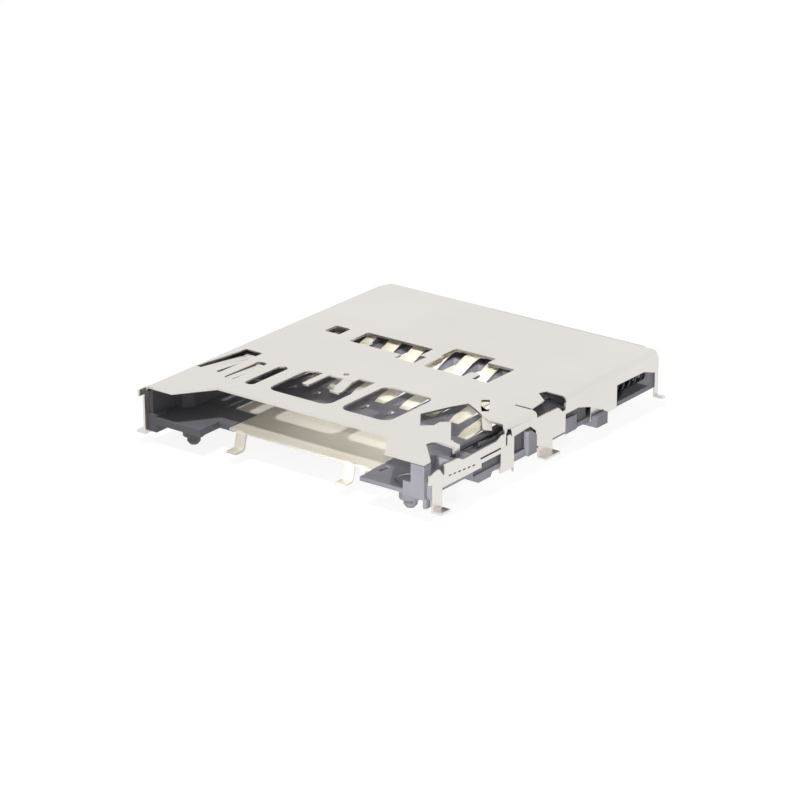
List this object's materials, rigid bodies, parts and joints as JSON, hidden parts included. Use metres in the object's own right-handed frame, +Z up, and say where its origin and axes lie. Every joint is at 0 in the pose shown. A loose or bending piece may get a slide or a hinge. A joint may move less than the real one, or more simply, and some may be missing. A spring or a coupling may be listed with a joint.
{
  "type": "sd card socket",
  "caption": "Low board-mounted socket for a full-size memory card: folded metal cover on a moulded base, with sprung contacts and a push-push slider.",
  "frame": {"origin": "on the board's surface, midway between the two locating pegs", "axes": "+Z up from the board, +Y the way the card goes in, +X to the right as the card's user sees it"},
  "size_m": [0.03, 0.0327, 0.0049],
  "materials": {
    "housing_plastic": "matte moulded",
    "shell_steel": "satin rolled sheet",
    "plate_bronze": "satin plated",
    "contact_bronze": "satin gold plated",
    "slider_plastic": "matte moulded",
    "spring_steel": "drawn wire"
  },
  "bodies": {
    "base": {"housing": "housing_plastic", "shell": "shell_steel", "ground_plate": "plate_bronze", "contact_1": "contact_bronze", "contact_2": "contact_bronze", "contact_3": "contact_bronze", "contact_4": "contact_bronze", "contact_5": "contact_bronze", "contact_6": "contact_bronze", "contact_7": "contact_bronze", "contact_8": "contact_bronze", "contact_9": "contact_bronze", "protect_spring": "contact_bronze", "protect_blade": "contact_bronze", "detect_spring": "contact_bronze", "detect_blade": "contact_bronze", "eject_spring": "spring_steel"},
    "slider": {"slider": "slider_plastic", "lock_spring": "spring_steel"},
    "cam_pin": {"cam_pin": "spring_steel"}
  },
  "joints": [
    {"name": "slider_push", "type": "slide", "parent": "base", "child": "slider", "axis": [0, 1, 0], "range_m": [0, 0.005], "stiffness_N_per_m": 150, "springref_m": -0.003, "deforming": ["eject_spring"]},
    {"name": "cam_pin_swing", "type": "hinge", "parent": "base", "child": "cam_pin", "pos_m": [0.01303, 0.0026, 0], "axis": [0, 0, 1], "range_deg": [0, 3.6]}
  ],
  "couplings": [
    {"joint": "cam_pin_swing", "follows": "slider_push", "rad_per_m": 12.16}
  ]
}
